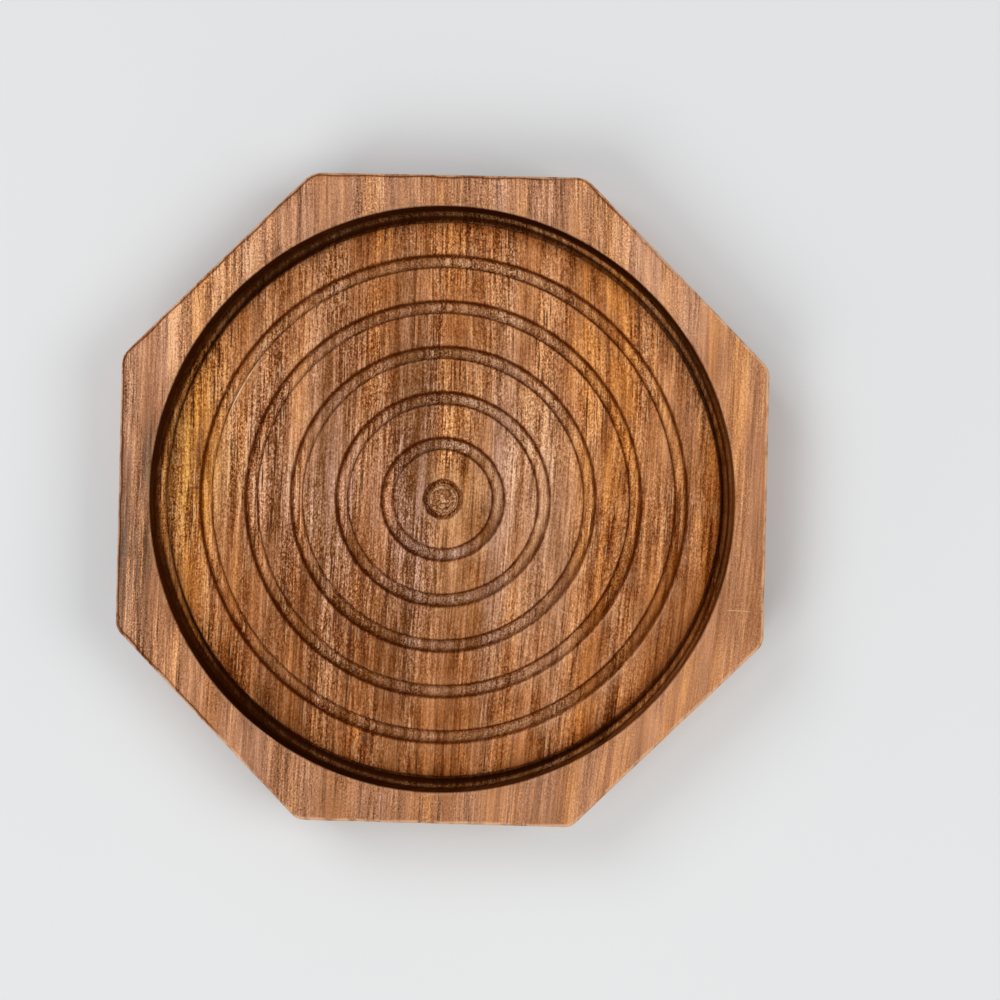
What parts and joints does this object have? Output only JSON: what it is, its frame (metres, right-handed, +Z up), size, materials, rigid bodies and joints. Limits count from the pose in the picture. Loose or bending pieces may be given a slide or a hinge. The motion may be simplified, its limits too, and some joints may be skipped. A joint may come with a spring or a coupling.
{
  "type": "drink coaster",
  "caption": "Octagonal turned hardwood drink coaster with a round recess, concentric ring grooves, an end-grain centre plug and a cork pad set in the underside.",
  "frame": {"origin": "middle of the cork pad's underside, on the surface that the coaster stands on", "axes": "+Z up out of the recess; Y along the wood grain; X across the grain; flat sides face X and Y"},
  "size_m": [0.1, 0.1, 0.013],
  "materials": {
    "hardwood": "oiled satin reddish-brown hardwood, straight grain along Y",
    "end_grain": "oiled end grain, speckled",
    "adhesive": "dried wood glue, hidden between pad and seat",
    "cork": "pressed cork granules, matte"
  },
  "bodies": {
    "root": {"coaster_body": "hardwood", "centre_plug": "end_grain", "pad_adhesive": "adhesive", "base_pad": "cork"}
  },
  "joints": []
}
